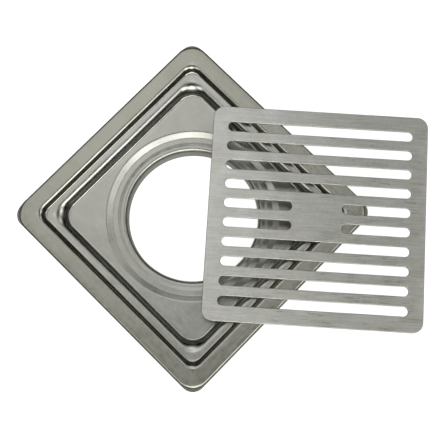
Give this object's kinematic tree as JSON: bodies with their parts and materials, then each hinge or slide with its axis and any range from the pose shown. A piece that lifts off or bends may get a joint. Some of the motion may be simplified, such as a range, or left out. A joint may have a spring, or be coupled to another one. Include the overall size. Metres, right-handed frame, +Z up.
{
  "type": "floor drain grate",
  "caption": "Square stainless floor drain frame with a stepped pan and a round outlet collar, its flat slotted grate lifted out and lying turned on the rim.",
  "frame": {"origin": "middle of the base of the box round the frame and the lifted grate, at the height of the collar's lower end", "axes": "+Z up out of the drain, +X and +Y along the drain frame's sides, with the lifted grate over the frame's +X +Y corner"},
  "size_m": [0.2154, 0.21, 0.0235],
  "materials": {
    "frame_steel": "satin mill-finish stainless sheet, pressed, with bright burnished bends",
    "grate_steel": "satin stainless sheet with a fine grain along the slots"
  },
  "bodies": {
    "frame": {"drain_frame": "frame_steel"},
    "grate": {"grate_plate": "grate_steel"}
  },
  "joints": [
    {"name": "grate_lift", "type": "slide", "parent": "frame", "child": "grate", "axis": [0, 0, 1], "range_m": [0, 0.08]}
  ]
}
